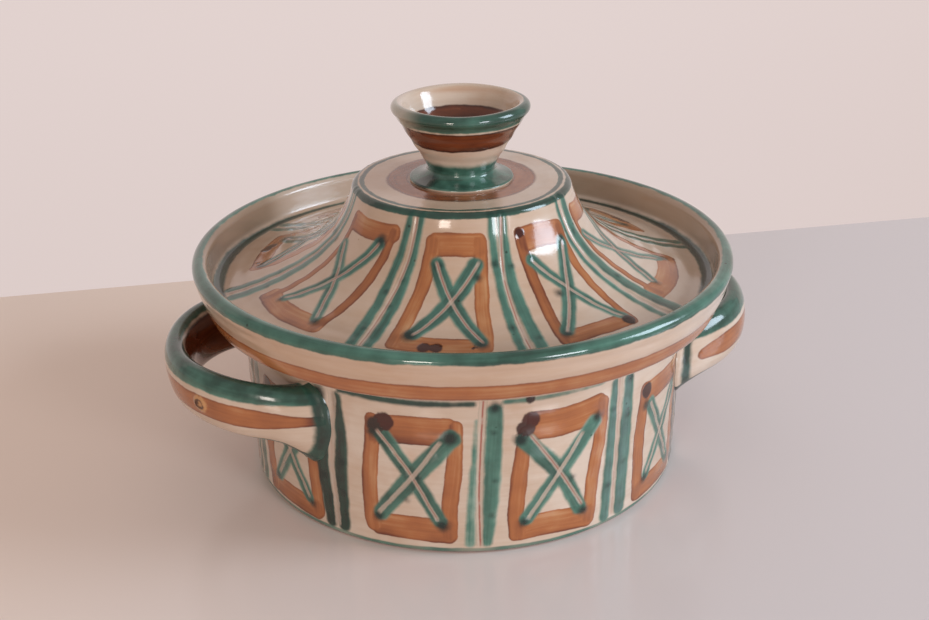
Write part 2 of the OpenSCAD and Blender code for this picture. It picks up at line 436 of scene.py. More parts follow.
# A divider between panels is two green bands with a scratch between them
WALL_DIVIDERS = [
    {"green": [([(-37.0, 73), (-36.4, 60), (-36.6, 36), (-36.0, 20), (-35.2, 1.6)], (3.4, 3.8, 3.2), 0.86),
               ([(-31.2, 75), (-30.6, 52), (-31.2, 34), (-31.4, 18), (-31.5, 1.6)], (2.2, 3.6, 3.4), 0.8)],
     "scratch": [([(-32.4, 74), (-32.2, 69), (-33.4, 53), (-34, 36), (-33.4, 19), (-33.4, 6)], 1.8, 0.12)],
     "drop": [(-36.6, 72, 4.2, 0), (-36.9, 62, 3.6, 0), (-35.9, 46, 2.2, 0), (-30.8, 40, 1.6, 0),
              (-30.7, 24, 1.0, 0), (-36.8, 30, 1.4, 0)]},
    {"green": [([(2.6, 69), (2.0, 48), (1.2, 24), (0.8, 3.4)], (0.5, 1.7, 2.3), 0.34),
               ([(7.0, 76), (6.4, 50), (6.0, 28), (4.9, 3.4)], (3.4, 4.0, 3.6, 2.2), 0.42)],
     "scratch": [([(4.2, 77), (3.4, 48), (3.2, 28), (3.4, 5)], 1.25, 0.9)],
     "drop": [(6.9, 74.3, 2.6, 0), (6.6, 62, 0.9, 0), (7.0, 38, 0.8, 0), (6.2, 20, 0.9, 0)]},
    {"green": [([(38.1, 76), (37.5, 44), (36.6, 2)], (1.9, 2.8, 3.0), 0.48),
               ([(43.0, 76), (42.3, 44), (41.8, 2)], (3.0, 4.2, 3.7), 0.5)],
     "scratch": [([(39.8, 77), (39.6, 44), (39.2, 5)], 1.5, 0.3)],
     "drop": [(43.4, 73, 1.8, 0), (37.9, 61, 1.0, 0), (42.6, 55, 1.1, 0), (42.2, 31, 0.9, 0),
              (37.2, 22, 1.0, 0)]},
]

# Lines that run round the pot: ([(turn, height) ...], half widths, load)
WALL_LINES = [
    ([(-31, 77), (-20, 76.4), (-9, 76.2), (2.6, 76.4)], (1.7, 1.6, 1.3), 0.78),
    ([(8.6, 76.6), (22, 76.4), (35, 76.2)], (1.1, 0.8, 0.5), 0.5),
    ([(-38, 66), (-40, 62), (-46, 61)], (2.2, 1.6, 0.8), 0.7),
]

# ---------------------------------------------------------------- the painting on the lid's dome

# The same panels, wider towards the foot, with v in millimetres down the dome from its shoulder
DOME_PANELS = [
    {"rust": [([(-67.6, 66.6), (-54, 68.6), (-38.4, 67.6)], (5.4, 5.2), 0.4),
              ([(-64.6, 12.8), (-48, 13.8), (-30, 12.2)], (4.8, 4.2), 0.42),
              ([(-62.6, 9.6), (-63, 36), (-64.6, 72)], (1.6, 2.0, 2.4), 0.46),
              ([(-33.6, 9.6), (-36.8, 36), (-39.2, 58), (-41, 73)], (2.2, 2.8, 2.5), 0.5)],
     "green": [([(-63, 23), (-51.4, 41), (-42.2, 66.4)], (3.0, 3.4, 3.0), 0.42),
               ([(-38.6, 16.4), (-50.6, 40), (-60.6, 65)], (3.4, 3.7, 3.0), 0.46)],
     "scratch": [([(-61.6, 25), (-51.6, 40.6), (-43.4, 63)], 0.9, 0.75),
                 ([(-40.4, 19.6), (-50.8, 40), (-59.6, 62)], 0.9, 0.8)],
     "drop": [(-39.4, 17, 2.8, 0), (-42.3, 66.6, 2.2, 0), (-60.4, 65, 1.7, 0)]},
    {"rust": [([(-19.6, 66.8), (-8, 67.6), (6.9, 68.4)], (5.0, 5.0), 0.4),
              ([(-15.4, 15), (-3, 14.6), (10.8, 15.4)], (5.4, 5.4), 0.4),
              ([(-13.2, 10.4), (-14.5, 30), (-16, 45), (-17.2, 60), (-17.6, 71.4)], (3.4, 3.3, 3.5), 0.38),
              ([(8.2, 10.6), (7, 32), (6, 47), (6.0, 60), (5.2, 73)], (3.2, 3.3, 3.2), 0.38)],
     "green": [([(-11.6, 20.6), (-3.6, 43), (5.4, 67.6)], (3.2, 4.2, 3.3), 0.5),
               ([(6.8, 20.8), (-3.4, 40.6), (-14.8, 63.6)], (3.6, 4.4, 3.6), 0.5)],
     "scratch": [([(-10.6, 23.6), (-3.4, 43), (4.6, 65)], 0.85, 0.8),
                 ([(6.4, 23.4), (-3.4, 40.6), (-13.2, 61)], 0.85, 0.7)],
     "drop": [(-14.4, 62.6, 3.3, 0), (4.5, 66.9, 2.8, 0), (-9.6, 69, 3.3, 0.9), (-6.8, 69, 3.2, 0.9),
              (2.5, 69, 1.2, 0.8), (5.8, 30, 1.7, 0), (-9.6, 24.4, 1.6, 0)]},
    {"rust": [([(24.4, 69.4), (36, 69.2), (48.2, 70.6)], (4.4, 4.4), 0.42),
              ([(25.4, 15.4), (38, 14.6), (53.8, 17)], (5.8, 5.6), 0.42),
              ([(27.6, 9.2), (27.2, 36), (25.6, 60), (25.2, 74)], (3.0, 2.8, 2.9), 0.56),
              ([(51.6, 11.6), (49, 36), (47.4, 60), (46.8, 74)], (3.0, 2.4, 2.2), 0.42)],
     "green": [([(28.6, 22.6), (38, 42), (46.4, 70)], (3.2, 3.2, 2.8), 0.44),
               ([(50.4, 18.6), (39, 41), (26.4, 68)], (2.9, 3.6, 3.2), 0.46)],
     "scratch": [([(30.2, 26), (38.2, 42), (45.4, 66.6)], 0.85, 0.35),
                 ([(49, 22), (39, 41), (27.8, 65)], 0.85, 0.55)],
     "drop": [(45.7, 71.4, 3.4, 0.5), (33.7, 43.9, 1.9, 0), (27.2, 67.4, 2.6, 0), (50, 19.4, 1.5, 0),
              (27.4, 12, 2.4, 0.9)]},
]

DOME_DIVIDERS = [
    {"green": [([(-25.6, 0), (-28, 26), (-28.4, 48), (-27.6, 86)], (1.5, 2.4, 2.9), 0.5),
               ([(-19.6, 0), (-21.8, 24), (-22.6, 48), (-24, 86)], (1.5, 2.4, 2.7), 0.48)],
     "scratch": [([(-22.3, 4), (-23.7, 28), (-25.1, 48), (-25.8, 84)], 0.95, 0.6)],
     "drop": [(-23.4, 33, 1.1, 0), (-27.8, 40, 1.0, 0), (-24.2, 47, 1.3, 0), (-27.3, 62, 0.9, 0)]},
    {"green": [([(14.2, 0), (13.8, 24), (13.6, 48), (14.0, 86)], (1.7, 2.0, 2.3), 0.46),
               ([(19.6, 0), (18.8, 24), (18.6, 48), (19.0, 86)], (2.1, 2.7, 3.3), 0.44)],
     "scratch": [([(19.2, 3), (17, 22), (15.9, 37), (15.9, 84)], 0.95, 0.75)],
     "drop": [(13.4, 24, 1.4, 0), (20.4, 26, 1.0, 0), (13.6, 58, 0.9, 0), (19.6, 66, 0.8, 0)]},
    {"green": [([(55.2, 0), (55.0, 36), (54.8, 86)], (1.2, 1.7, 2.1), 0.44),
               ([(62, 0), (61, 36), (60.6, 86)], (2.3, 3.4, 3.9), 0.46)],
     "scratch": [([(57.2, 3), (57, 36), (56.8, 84)], 0.9, 0.3)],
     "drop": [(60.6, 20, 1.0, 0), (61.4, 49, 1.0, 0)]},
]


def shifted(points, turn, draw, stretch=1.0, about=0.0):
    """Points moved round the pot, spread about their middle, and shaken a little as a hand would."""
    p = np.array(points, float)
    p[:, 0] = about + (p[:, 0] - about) * stretch + turn
    return p + draw.normal(0, 1, p.shape) * (0.25, 0.45)


def paint_group(skin, group, turn, draw, stretch=1.0, about=0.0):
    """Lays one panel or divider down, turned round the pot: rust first, then green, drops and
    scratches, in the order that they were painted."""
    move = lambda points: shifted(points, turn, draw, stretch, about)
    for points, halves, load in group.get("rust", []):
        skin.brush("rust", move(points), halves, load, corner=3.2)
    for points, halves, load in group["green"]:
        skin.brush("green", move(points), halves, load, corner=3.4)
    for where, v, radius, red in group["drop"]:
        spot = move([(where, v)])[0]
        skin.drop(spot[0], spot[1], radius, red)
    for which, (points, half, red) in enumerate(group["scratch"]):
        skin.scratch(which, move(points), half, red)


class Steady:
    """Stands in for the random draws where a group keeps the place it was set down in."""

    def normal(self, mean, spread, shape):
        """No shake at all."""
        return np.zeros(shape)


# Seeds of the painter's small differences, and the turn from one panel on the wall to the next
WALL_SEED, DOME_SEED = 11, 23
WALL_STEP = 36


def paint_wall(skin):
    """Ten panels and ten dividers, 36 degrees apart. The three on the show side are as set down,
    and the rest repeat them with a painter's small differences."""
    draw = np.random.default_rng(WALL_SEED)
    for k in range(-1, 9):
        pattern = k % 3
        turn = WALL_STEP * (k - pattern)
        hand = Steady() if k in (0, 1, 2) else draw
        paint_group(skin, WALL_PANELS[pattern], turn, hand)
        paint_group(skin, WALL_DIVIDERS[pattern], turn, hand)
    for points, halves, load in WALL_LINES:
        skin.brush("green", points, halves, load, corner=0.8)
    for k in range(3, 10):
        start = WALL_STEP * k - 31 + draw.normal(0, 1)
        path = [(start, 76.6), (start + 14, 76.4), (start + 32, 76.5)]
        skin.brush("green", path, (1.4, 1.2, 0.8), 0.6, corner=0.8)


def paint_dome(skin):
    """Eight panels between eight dividers. Three of each are as set down, and the other five
    repeat them round the back, a little wider."""
    draw = np.random.default_rng(DOME_SEED)
    dividers = (-24, 17, 58, 105, 151, 196, 241, 286)
    for k, turn in enumerate(dividers):
        pattern = k % 3
        hand = Steady() if k < 3 else draw
        paint_group(skin, DOME_DIVIDERS[pattern], turn - dividers[pattern], hand)
    middles = (-49, -3.6, 38)
    for panel_group in DOME_PANELS:
        paint_group(skin, panel_group, 0, Steady())
    for k in range(2, 7):
        pattern = (k + 1) % 3
        middle = (dividers[k] + dividers[k + 1]) / 2
        paint_group(skin, DOME_PANELS[pattern], middle - middles[pattern], draw, 1.06, middles[pattern])


# ---------------------------------------------------------------- the pieces


def throwing_rings(turn, v, height, pitch):
    """The faint spiral that fingers leave in turning clay: a sine along v that shifts with turn,
    under a slower one, height mm deep at most and never above the true surface."""
    spiral = np.sin(2 * np.pi * (v / pitch + turn / 360))
    slow = np.sin(2 * np.pi * (v / (3.7 * pitch) - 2 * turn / 360) + 1.3)
    return height * (0.6 * spiral + 0.4 * slow - 1) / 2


def make_pot():
    """The pot's profile, turned: foot ring, round corner, nearly straight wall, rolled rim, inside
    wall, round inside corner and floor."""
    foot_in_r = foot_r - foot_ring_w
    rim = (mouth_r - wall / 2, pot_h - wall / 2)
    mouth_in_r = mouth_r - wall
    belly = (foot_r + 0.8 * (mouth_r - foot_r), 0.43 * pot_h)
    side = cubic((foot_r, foot_corner_r), (foot_r + 0.6, 0.2 * pot_h), belly, (mouth_r, rim[1]))
    inner = (mouth_in_r - 2 - inside_corner_r, floor_z + inside_corner_r)
    profile = walk(
        (line((0, foot_hollow), (foot_in_r, foot_hollow)), 10),
        (line((foot_in_r, foot_hollow), (foot_in_r + foot_hollow, 0)), 1.1),
        (line((foot_in_r + foot_hollow, 0), (foot_r - foot_corner_r, 0)), 2.5),
        (arc((foot_r - foot_corner_r, foot_corner_r), foot_corner_r, -90, 0), 0.8),
        (side, 1.08),
        (arc(rim, wall / 2, 0, 180), 1.0),
        (line((mouth_in_r, rim[1]), (mouth_in_r - 2, inner[1])), 4),
        (arc(inner, inside_corner_r, 0, -90), 2.4),
        (line((inner[0], floor_z), (0, floor_z)), 9),
    )
    pot = Thrown(profile, 600)
    outside = (pot.out_r > 0.8) & (pot.r > foot_r - 1.2)
    skin = Skin(pot, outside, (side[:, 1], side[:, 0], side[:, 1]))
    paint_wall(skin)
    below_rim = ease(pot.z, 3, 8) * (1 - ease(pot.z, pot_h - 14, pot_h - 7)) * outside
    inside = (pot.out_r < -0.8) * ease(pot.z, 24, 30) * (1 - ease(pot.z, pot_h - 22, pot_h - 12))
    floor = (pot.out_z > 0.9) & (pot.z < floor_z + 1)
    pot.lift(below_rim * throwing_rings(pot.turn, pot.z, 0.35, 11)
             + inside * throwing_rings(pot.turn, pot.z, 0.5, 9)
             + floor * throwing_rings(pot.turn, pot.r, 0.6, 13)
             + outside * np.minimum(skin.relief(), 0.2))
    piece = pot.make("pot_wall_and_floor", "pot", "pot_glaze", "pot_body")
    skin.write(piece)
    return piece


def dome_lines():
    """The dome from the flat top's edge down to the gutter's wall, as one row of points."""
    shoulder = (top_r - shoulder_r, top_z - shoulder_r)
    start = np.array(shoulder) + shoulder_r * np.array([math.cos(math.radians(17)),
                                                        math.sin(math.radians(17))])
    end = np.array([gutter_r - 0.5, gutter_z])
    run = end - start
    dome = cubic(start, start + run * (0.085, 0.43), start + run * (0.29, 0.82), end)
    corner = arc((gutter_r, gutter_z + gutter_corner_r), gutter_corner_r, -80, 0)
    return arc(shoulder, shoulder_r, 90, 17), dome, corner


def make_lid():
    """The lid's profile, turned: hollow underside, flat seat, skirt, upturned rim with a rounded
    lip, gutter, sweeping dome, and flat top."""
    shoulder, dome, corner = dome_lines()
    under_top = (top_r - wall, top_z - wall - 2)
    under_run = np.array([ring_in_r, seat_z]) - under_top
    under = cubic((ring_in_r, seat_z), under_top + under_run * (0.43, 0.74),
                  under_top + under_run * (0.14, 0.34), under_top)
    lip = (lid_r - lip_r, crest_z - lip_r)
    skirt_edge = 1.2
    skirt = arc((skirt_r - skirt_edge, skirt_z + skirt_edge), skirt_edge, -90, -20)
    outer_lip = arc(lip, lip_r, -20, 165, 32)
    bow = (skirt[-1] + outer_lip[0]) / 2 + (0.9, -0.5)
    profile = walk(
        (line((0, top_z - wall), (top_r - wall - 3, top_z - wall), under_top), 7),
        (under[::-1], 4.5),
        (line((ring_in_r, seat_z), (mouth_r + 1, seat_z), skirt[0]), 4),
        (skirt, 0.7),
        (cubic(skirt[-1], bow, bow, outer_lip[0]), 1.3),
        (outer_lip, 1.0),
        (line(outer_lip[-1], corner[-1]), 1.6),
        (corner[::-1], 1.2),
        (dome[::-1], 1.24),
        (shoulder[::-1], 0.9),
        (line(shoulder[0], (0, top_z)), 2.2),
    )
    lid = Thrown(profile, 540)
    guide = np.vstack([shoulder, dome[1:], corner[1:]])
    down = lengths(guide) - 0.9
    upper = (lid.z > gutter_z - 0.5) & (lid.out_z > 0.2) & (lid.r > top_r - 4) & (lid.r < gutter_r + 3)
    skin = Skin(lid, upper, (down, guide[:, 0], guide[:, 1]))
    paint_dome(skin)
    rim_wobble = ease(lid.z, crest_z - 12, crest_z - 1) * (lid.r > gutter_r)
    lid.z = lid.z - rim_wobble * 0.35 * (1 + np.sin(np.radians(2 * lid.turn + 40)))
    under_side = (lid.out_z < -0.3) & (lid.r < ring_in_r - 4)
    on_dome = ease(lid.r, top_r + 2, top_r + 10) * (1 - ease(lid.r, gutter_r - 6, gutter_r)) * upper
    top = (lid.r < top_r - 6) & (lid.out_z > 0.9)
    rim_face = ease(lid.z, skirt_z + 3, skirt_z + 6) * (1 - ease(lid.z, crest_z - 9, crest_z - 6))
    lid.lift(on_dome * throwing_rings(lid.turn, lid.r, 0.35, 9)
             + under_side * throwing_rings(lid.turn, lid.r, 0.7, 10)
             + top * throwing_rings(lid.turn, lid.r, 0.2, 7) * ease(lid.r, 27, 30)
             + rim_face * (lid.out_r > 0.8) * throwing_rings(lid.turn, lid.z, 0.4, 8)
             + upper * np.minimum(skin.relief(), 0.25))
    piece = lid.make("lid_dome_and_rim", "lid", "lid_glaze", "lid_shell")
    skin.write(piece)
    return piece


def make_locating_ring():
    """A thrown ring under the lid that drops into the pot's mouth, its lower edges rounded."""
    low_z, edge = ring_low[2], 1.5
    profile = walk(
        (line((ring_in_r, seat_z), (ring_in_r, low_z + edge)), 1.6),
        (arc((ring_in_r + edge, low_z + edge), edge, 180, 270), 0.6),
        (arc((ring_out_r - edge, low_z + edge), edge, -90, 0), 0.6),
        (line((ring_out_r, low_z + edge), (ring_out_r, seat_z), (ring_in_r + 0.5, seat_z)), 1.6),
    )
    ring = Thrown(profile, 480)
    sides = 1 - ease(ring.z, seat_z - 3, seat_z - 1)
    ring.lift(sides * throwing_rings(ring.turn, ring.z, 0.3, 5))
    return ring.make("lid_locating_ring_under", "lid", "lid_glaze", "lid_locating_ring")


def make_knob():
    """The knob's profile, turned: foot edge, sweep in to the waist, straight flare out to the
    rounded lip, and a bowl-shaped hollow."""
    edge = 0.8
    waist = (waist_r, top_z + 6)
    lip = np.array([knob_r - knob_lip_r, knob_top - knob_lip_r])
    foot = arc((knob_foot_r - edge, top_z + edge), edge, -90, 60)
    flare_end = lip + knob_lip_r * np.array([math.cos(math.radians(-30)), math.sin(math.radians(-30))])
    cup_z = top_z + cup_h
    lip_arc = arc(lip, knob_lip_r, -20, 145, 24)
    profile = walk(
        (line((0, top_z), foot[0]), 4),
        (foot, 0.5),
        (cubic(foot[-1], (waist_r + 2.5, top_z + 2.2), (waist_r - 0.4, waist[1] - 2), waist), 0.7),
        (cubic(waist, (waist_r + 0.3, waist[1] + 2.2), (waist_r + 2.6, waist[1] + 5), flare_end), 0.9),
        (line(flare_end, lip_arc[0]), 0.9),
        (lip_arc, 0.6),
        (cubic(lip_arc[-1], (18.5, cup_z + 5), (12.5, cup_z + 0.5), (6.5, cup_z)), 1.2),
        (line((6.5, cup_z), (0, cup_z)), 2),
    )
    knob = Thrown(profile, 320)
    middle = ease(knob.z, top_z + 8, top_z + 12) * (1 - ease(knob.z, knob_top - 7, knob_top - 4))
    knob.lift(middle * throwing_rings(knob.turn, knob.z, 0.45, 6.5))
    knob.z = knob.z - ease(knob.z, knob_top - 6, knob_top) * 0.25 * (1 + np.cos(np.radians(3 * knob.turn)))
    return knob.make("knob_cup", "lid", "knob_glaze", "lid_knob")


def pot_side_r(z):
    """Radius of the pot's wall at a height, near enough for the handles' roots."""
    return foot_r + (mouth_r - foot_r) * np.clip(z / (0.8 * pot_h), 0, 1)


# The straps' section, |u|^power + |w|^power = 1, and how far inside the wall their ends stop.
# How each strap was pulled: its lean outwards at the top, its sweep down at the roots, and how wide
# the loop is for its depth
STRAP_POWER = 2.2
ROOT_DEPTH = 2.5
STRAP_HABIT = {-1: (strap_lean, root_sweep, loop_widening), 1: (-0.6, 4.0, loop_widening - 0.06)}


# The burst blister on the left strap: where its middle is, in degrees along the loop and round the
# strap, then its radius, the radii where its pit starts and is deepest, and its height and depth
BLISTER_ALONG, BLISTER_ROUND = -35, 88
BLISTER_R, PIT_R, PIT_FLOOR_R = 5.0, 2.4, 0.8
BLISTER_UP, PIT_DOWN = 1.2, 1.4
# Distance that takes the right strap out of the blister's reach
NO_BLISTER = 50


def make_handle(name, node, side):
    """A strap bent round a loop: point = centre + (R + out) round the loop at angle f, with a
    superellipse for its section at angle b. The strap leans out, droops and swells towards its roots,
    and its ends flare into the wall and stop inside it. The left strap has a burst blister: a low
    round swelling with a pit in its middle. side is 1 for +X and -1 for -X."""
    steps, round_steps = 230, 72
    f = np.radians(np.linspace(-100, 100, steps))[:, None]
    b = np.radians(np.arange(round_steps) * 360 / round_steps)[None]
    root = ease(np.abs(np.degrees(f)), 60, 90)
    droop = strap_droop * np.sin(f) ** 4
    lean, sweep, wide = STRAP_HABIT[side]
    low = strap_top - strap_h - droop - sweep * root**2
    half_h = (strap_top - droop - low) / 2
    half_t = strap_t / 2 * (1 + root_swell * root)
    power = 2 / STRAP_POWER
    up = np.sign(np.cos(b)) * np.abs(np.cos(b)) ** power
    out = np.sign(np.sin(b)) * np.abs(np.sin(b)) ** power
    loop_r = loop_outer_r - strap_t / 2
    thumbs = 0.35 * np.sin(3 * f + 0.6) * np.cos(b) ** 2 + 0.3 * np.sin(5 * f + 2)
    reach = loop_r + (half_t - 0.25) * out + lean * up + 0.35 * thumbs - 0.2
    x = loop_x + reach * np.cos(f)
    y = wide * reach * np.sin(f) - handle_pull * np.cos(f)
    z = low + half_h * (1 + up) - 0.25 * (1 + np.sin(4 * f + 1)) * np.maximum(up, 0)
    clear = np.hypot(x, y) - pot_side_r(z)
    flare = np.where(out > 0, 2.4, 4.0) * np.exp(-np.maximum(clear, 0) / 3.0)
    x = x + flare * out * np.cos(f)
    y = y + flare * out * np.sin(f)
    z = z + flare * np.where(up > 0, 0.3, 0.9) * up
    across = np.hypot(x, y)
    buried = pot_side_r(z) - ROOT_DEPTH
    push = np.where(across < buried, buried / np.maximum(across, 1), 1)
    column = round(BLISTER_ROUND / 360 * round_steps)
    middle = [np.interp(math.radians(BLISTER_ALONG), f[:, 0], c[:, column]) for c in (x, y, z)]
    away = np.sqrt(sum((c - at) ** 2 for c, at in zip((x, y, z), middle))) + NO_BLISTER * (side > 0)
    bump = (BLISTER_UP * (1 - ease(away, PIT_R, BLISTER_R))
            - PIT_DOWN * (1 - ease(away, PIT_FLOOR_R, PIT_R)))
    x, y = x + bump * np.cos(f), y + bump * np.sin(f)
    points = np.stack([x * push * side, y * push, z], -1).reshape(-1, 3)
    centres = points.reshape(steps, round_steps, 3)[[0, -1]].mean(1)
    piece = make_piece(name, np.vstack([points, centres]), *grid_faces(steps, round_steps, True),
                       "pot", "handle_glaze", node)
    shape = (steps, round_steps)
    spread = lambda value: np.concatenate([np.broadcast_to(value, shape).ravel(), [0, 0]])
    write_field(piece, "strap", spread(strap_top - droop - z), spread(out), spread(clear))
    write_field(piece, "strap_run", spread(np.degrees(f)), spread(z - low), spread(np.minimum(away, 20)))
    return piece


# ---------------------------------------------------------------- glaze


def tint(code):
    """A paint colour written as six hex digits, made linear for the shader."""
    parts = [int(code[k:k + 2], 16) / 255 for k in (0, 2, 4)]
    return tuple(p / 12.92 if p < 0.04045 else ((p + 0.055) / 1.055) ** 2.4 for p in parts) + (1,)


# CREAM_THIN_AND_SHADED is the warm tone of cream glaze lying thin, and also painted warm shade on the
# lid's left side and inside the knob's cup; CREAM_PALE also serves as painted light on the lid's inner
# wall and the knob's left
CREAM_WARM, CREAM_PALE, CREAM_THIN_AND_SHADED = tint("C8AA90"), tint("DAC5B3"), tint("BE906D")
RUST_THIN, RUST, RUST_THICK, RUST_POOL = tint("CF9A66"), tint("AD6636"), tint("75371A"), tint("3A130A")
GREEN_THIN, GREEN, GREEN_THICK, GREEN_POOL = tint("98B8A8"), tint("4A7B6B"), tint("1A463A"), tint("08201A")
SCRATCH_PALE, SCRATCH_RED = tint("BDB0A5"), tint("A2503F")
BLOB_RED, GUTTER_WASH = tint("431208"), tint("A68A72")
BARE_CLAY, CLAY_DARK = tint("B9744E"), tint("8E5237")


class Reading:
    """A number that a glaze reads or works out at each point; +, -, * and abs make a new one."""

    def __init__(self, glaze, socket):
        self.glaze, self.socket = glaze, socket

    def __add__(self, other):
        return self.glaze.math("ADD", self, other)

    def __radd__(self, other):
        return self.glaze.math("ADD", other, self)

    def __sub__(self, other):
        return self.glaze.math("SUBTRACT", self, other)

    def __rsub__(self, other):
        return self.glaze.math("SUBTRACT", other, self)

    def __mul__(self, other):
        return self.glaze.math("MULTIPLY", self, other)

    def __abs__(self):
        return self.glaze.math("ABSOLUTE", self)


# A cover this far below zero, in mm, is outside its paint whatever shakes its edge
OUTSIDE = 10.0


class Glaze:
    """A material under construction: short calls that add nodes and link them."""

    def __init__(self, name):
        self.material = bpy.data.materials.new(name)
        self.material.use_nodes = True
        self.tree = self.material.node_tree
        self.tree.nodes.clear()
        place = self.output(self.node("TexCoord", {}), "Object")
        self.mm = self.vector("SCALE", place, scale=1 / MM)
        self.x, self.y, self.z = self.split(self.mm)
        self.r = self.vector("LENGTH", self.vector("MULTIPLY", self.mm, (1, 1, 0)))

    def link(self, value, socket):
        """Feeds a socket from a reading, or sets it directly to a plain value."""
        if isinstance(value, Reading):
            self.tree.links.new(value.socket, socket)
        elif value is not None:
            socket.default_value = value

    def node(self, kind, inputs, **settings):
        """Adds a node of a kind, makes its settings and feeds its inputs, by name or number."""
        node = self.tree.nodes.new("ShaderNode" + kind)
        for name, value in settings.items():
            setattr(node, name, value)
        for name, value in inputs.items():
            self.link(value, node.inputs[name])
        return node

    def output(self, node, name):
        """A node's output, by name or number, as a reading."""
        return Reading(self, node.outputs[name])

    def math(self, kind, a, b=None):
        """A sum of one or two readings or numbers."""
        return self.output(self.node("Math", {0: a, 1: b}, operation=kind), 0)

    def least(self, a, b):
        """The smaller of two covers: the paint that lies inside both edges."""
        return self.math("MINIMUM", a, b)

    def only(self, cover, where):
        """The cover where a mask is 1, and far outside the paint where it is 0."""
        return (cover + OUTSIDE) * where - OUTSIDE

    def vector(self, kind, a, b=None, scale=None):
        """A sum of one or two places; LENGTH gives a single number."""
        node = self.node("VectorMath", {0: a, 1: b, 3: scale}, operation=kind)
        return self.output(node, "Value" if kind == "LENGTH" else "Vector")

    def split(self, value):
        """The three numbers in a place."""
        node = self.node("SeparateXYZ", {0: value})
        return [self.output(node, k) for k in range(3)]

    def join(self, x, y, z):
        """A place made of three numbers."""
        return self.output(self.node("CombineXYZ", {0: x, 1: y, 2: z}), 0)

    def field(self, name):
        """The three numbers that the piece stores under a name."""
        return self.split(self.output(self.node("Attribute", {}, attribute_name=name), "Vector"))

    def ease(self, value, low, high, start=0.0, end=1.0):
        """start below low, end above high, and a smooth step between."""
        inputs = {"Value": value, "From Min": low, "From Max": high, "To Min": start, "To Max": end}
        return self.output(self.node("MapRange", inputs, interpolation_type="SMOOTHSTEP"), "Result")

    def band(self, value, low, high, soft=0.4):
        """1 between low and high, with soft edges."""
        rise = self.ease(value, low - soft, low + soft)
        fall = self.ease(value, high - soft, high + soft, 1.0, 0.0)
        return rise * fall

    def noise(self, size, detail=2.0, where=None):
        """Noise whose lumps are about size mm across, from 0 to 1."""
        where = self.mm if where is None else where
        node = self.node("TexNoise", {"Vector": where, "Scale": 1 / size, "Detail": detail})
        return self.output(node, "Fac")

    def shake(self, size, amount, detail=2.0, where=None):
        """Noise from -amount to amount."""
        return (self.noise(size, detail, where) - 0.5) * (2 * amount)

    def specks(self, spacing, radius, share, soft=0.35):
        """Round specks about spacing mm apart, of which only a share shows."""
        node = self.node("TexVoronoi", {"Vector": self.mm, "Scale": 1 / spacing})
        shown = self.math("LESS_THAN", self.split(self.output(node, "Color"))[0], share)
        far = self.output(node, "Distance") * spacing
        return self.ease(far, radius - soft, radius + soft, 1.0, 0.0) * shown

    def mix(self, share, a, b):
        """Colour a where the share is 0, and colour b where it is 1."""
        return self.output(self.node("Mix", {"Factor": share, 6: a, 7: b}, data_type="RGBA"), 2)

    def ramp(self, value, stops):
        """Colours placed at stops along a value."""
        node = self.node("ValToRGB", {0: value})
        parts = node.color_ramp.elements
        while len(parts) < len(stops):
            parts.new(0.5)
        for part, (at, colour) in zip(parts, stops):
            part.position, part.color = at, colour
        return self.output(node, "Color")

    # Ground colours

    def cream(self):
        """Tin-white glaze over red clay: cream, warmer where it lies thin, with fine brush lines,
        faint iron specks and a little crawl."""
        patch = self.noise(38, 3)
        brushed = self.noise(1, 3, self.vector("MULTIPLY", self.mm, (0.06, 0.06, 0.55)))
        tone = patch * 0.75 + brushed * 0.4
        base = self.ramp(tone, [(0.3, CREAM_WARM), (0.72, CREAM_PALE)])
        blush = self.ease(self.noise(17, 3), 0.5, 0.78) * 0.3
        base = self.mix(blush, base, CREAM_THIN_AND_SHADED)
        iron = self.specks(19, 0.35, 0.3, 0.2) * 0.75
        return self.mix(iron, base, RUST_THICK)

    def rust_tone(self, load):
        """Iron brown, orange where thin and nearly black-red where it pools."""
        return self.ramp(load, [(0.1, RUST_THIN), (0.42, RUST), (0.74, RUST_THICK), (1.0, RUST_POOL)])

    def green_tone(self, load):
        """Copper green, milky where thin and dark bottle green where thick."""
        return self.ramp(load, [(0.08, GREEN_THIN), (0.42, GREEN), (0.74, GREEN_THICK), (1.0, GREEN_POOL)])

    def lay_rust(self, ground, cover, load, streaks, sharp=0.3):
        """Rust paint over a ground: darker along its edges, streaked along the brush."""
        cover = cover + self.shake(7, 0.5) + self.shake(1.6, 0.14)
        mask = self.ease(cover, -sharp, sharp)
        edge = self.ease(cover, 0.15, 1.5, 1.0, 0.0) * 0.2
        tone = load + edge + streaks + self.shake(13, 0.16, 3)
        shown = mask * self.ease(tone, 0.0, 0.4, 0.72, 0.98)
        return self.mix(shown, ground, self.rust_tone(tone)), mask

    def lay_green(self, ground, cover, load, streaks, sharp=0.95):
        """Green paint over a ground: its edges bleed into the glaze, with dark copper specks."""
        cover = cover + self.shake(7, 0.7) + self.shake(1.6, 0.14)
        mask = self.ease(cover, -sharp, sharp)
        heart = self.ease(cover, 0.0, 2.2) * 0.12
        dark = self.specks(6.5, 0.55, 0.4) * 0.34
        tone = load + heart + streaks + self.shake(9, 0.2, 3) + dark
        shown = mask * self.ease(tone, 0.0, 0.5, 0.7, 0.97)
        return self.mix(shown, ground, self.green_tone(tone)), mask

    def streaks(self, name, amount):
        """Brush hairs: noise drawn out along the stroke that the piece stores under a name."""
        along, across, number = self.field(name)
        where = self.join(along * 0.035, across * 0.62, number * 7.3)
        pooled = (self.noise(24, 1) - 0.42) * across * 0.16
        return self.shake(1, amount, 3, where) + pooled

